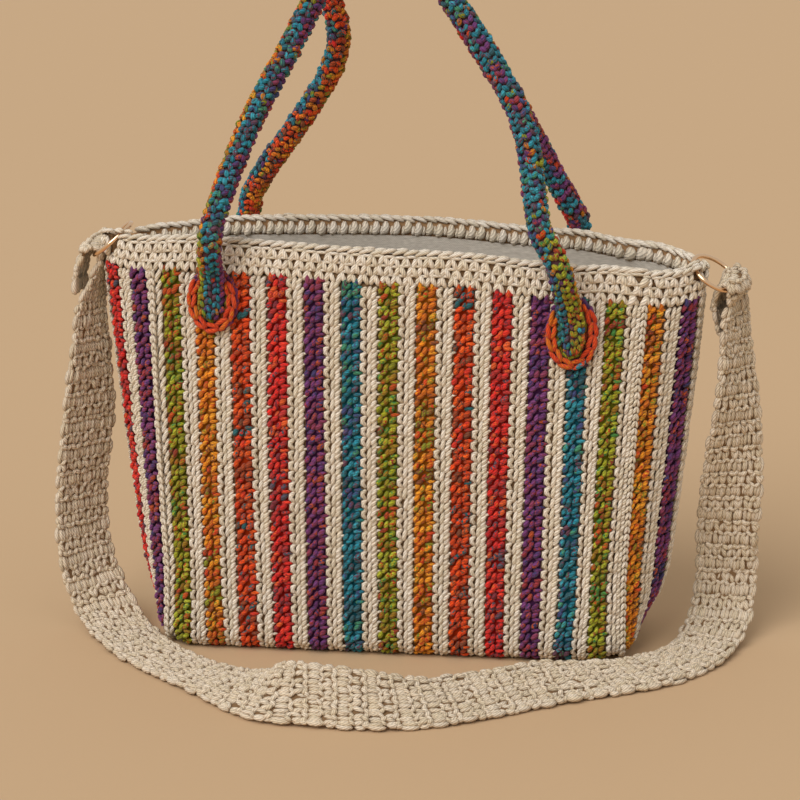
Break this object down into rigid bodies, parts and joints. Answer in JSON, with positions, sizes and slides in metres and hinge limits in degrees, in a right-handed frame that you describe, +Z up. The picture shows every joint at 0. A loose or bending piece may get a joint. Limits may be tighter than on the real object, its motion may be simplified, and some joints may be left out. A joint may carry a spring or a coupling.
{
  "type": "tote bag",
  "caption": "Striped crochet tote bag with a flat base, two rolled handles, a loose lining and a long flat shoulder strap on metal rings.",
  "frame": {"origin": "middle of the flat base, on the floor", "axes": "+X along the bag's width towards its right end, +Y towards the back, +Z up"},
  "size_m": [0.4463, 0.2386, 0.4584],
  "materials": {
    "striped_cotton": "crocheted cotton in cream and variegated stripes",
    "cream_cotton": "crocheted cream cotton",
    "grey_cotton": "plain woven cotton",
    "variegated_cotton": "crocheted cotton in changing colours",
    "purple_cotton": "crocheted cotton",
    "orange_cotton": "chain-stitched cotton",
    "pale_gold": "polished pale gold plate"
  },
  "bodies": {
    "root": {"main_panel": "striped_cotton", "left_gusset": "striped_cotton", "right_gusset": "striped_cotton", "left_seam": "cream_cotton", "right_seam": "cream_cotton", "rim_band": "cream_cotton", "lining": "grey_cotton", "front_handle": "variegated_cotton", "back_handle": "variegated_cotton", "front_left_patch": "purple_cotton", "front_right_patch": "purple_cotton", "back_left_patch": "purple_cotton", "back_right_patch": "purple_cotton", "front_left_edging": "orange_cotton", "front_right_edging": "orange_cotton", "back_left_edging": "orange_cotton", "back_right_edging": "orange_cotton", "shoulder_strap": "cream_cotton"},
    "left_ring": {"left_ring": "pale_gold"},
    "right_ring": {"right_ring": "pale_gold"}
  },
  "joints": [
    {"name": "left_ring_swing", "type": "hinge", "parent": "root", "child": "left_ring", "pos_m": [-0.17639, 0.00103, 0.25464], "axis": [-0.1569, 0.9869, -0.0363], "range_deg": [-15, 45], "deforming": ["shoulder_strap"]},
    {"name": "right_ring_swing", "type": "hinge", "parent": "root", "child": "right_ring", "pos_m": [0.18103, -0.00004, 0.24337], "axis": [-0.1643, -0.946, -0.2795], "range_deg": [-30, 35], "deforming": ["shoulder_strap"]}
  ]
}
